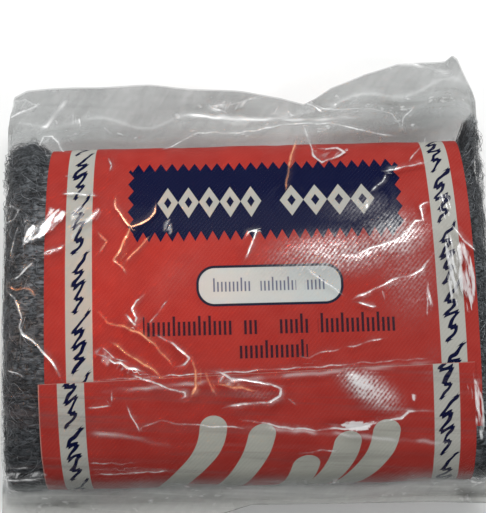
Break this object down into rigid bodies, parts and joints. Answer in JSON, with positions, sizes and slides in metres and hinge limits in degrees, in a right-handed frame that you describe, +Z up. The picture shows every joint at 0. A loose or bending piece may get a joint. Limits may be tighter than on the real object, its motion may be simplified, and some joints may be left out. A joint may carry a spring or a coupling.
{
  "type": "steel wool pad in a film pack",
  "caption": "Steel wool pad with a printed paper band round its middle, in a clear film bag with an open flap at its far side.",
  "frame": {"origin": "under the middle of the pack's bounding box, on the surface that it lies on", "axes": "+X along the pad, +Y from the bag's sealed hem to its open flap, +Z up"},
  "size_m": [0.1666, 0.1604, 0.0467],
  "materials": {
    "steel_wool": "fine dark steel fibre, matted",
    "printed_paper": "red printed paper, half gloss",
    "clear_film": "clear thin polythene film, glossy and creased"
  },
  "bodies": {
    "root": {"wool_pad": "steel_wool", "label_band": "printed_paper", "film_bag": "clear_film"}
  },
  "joints": []
}
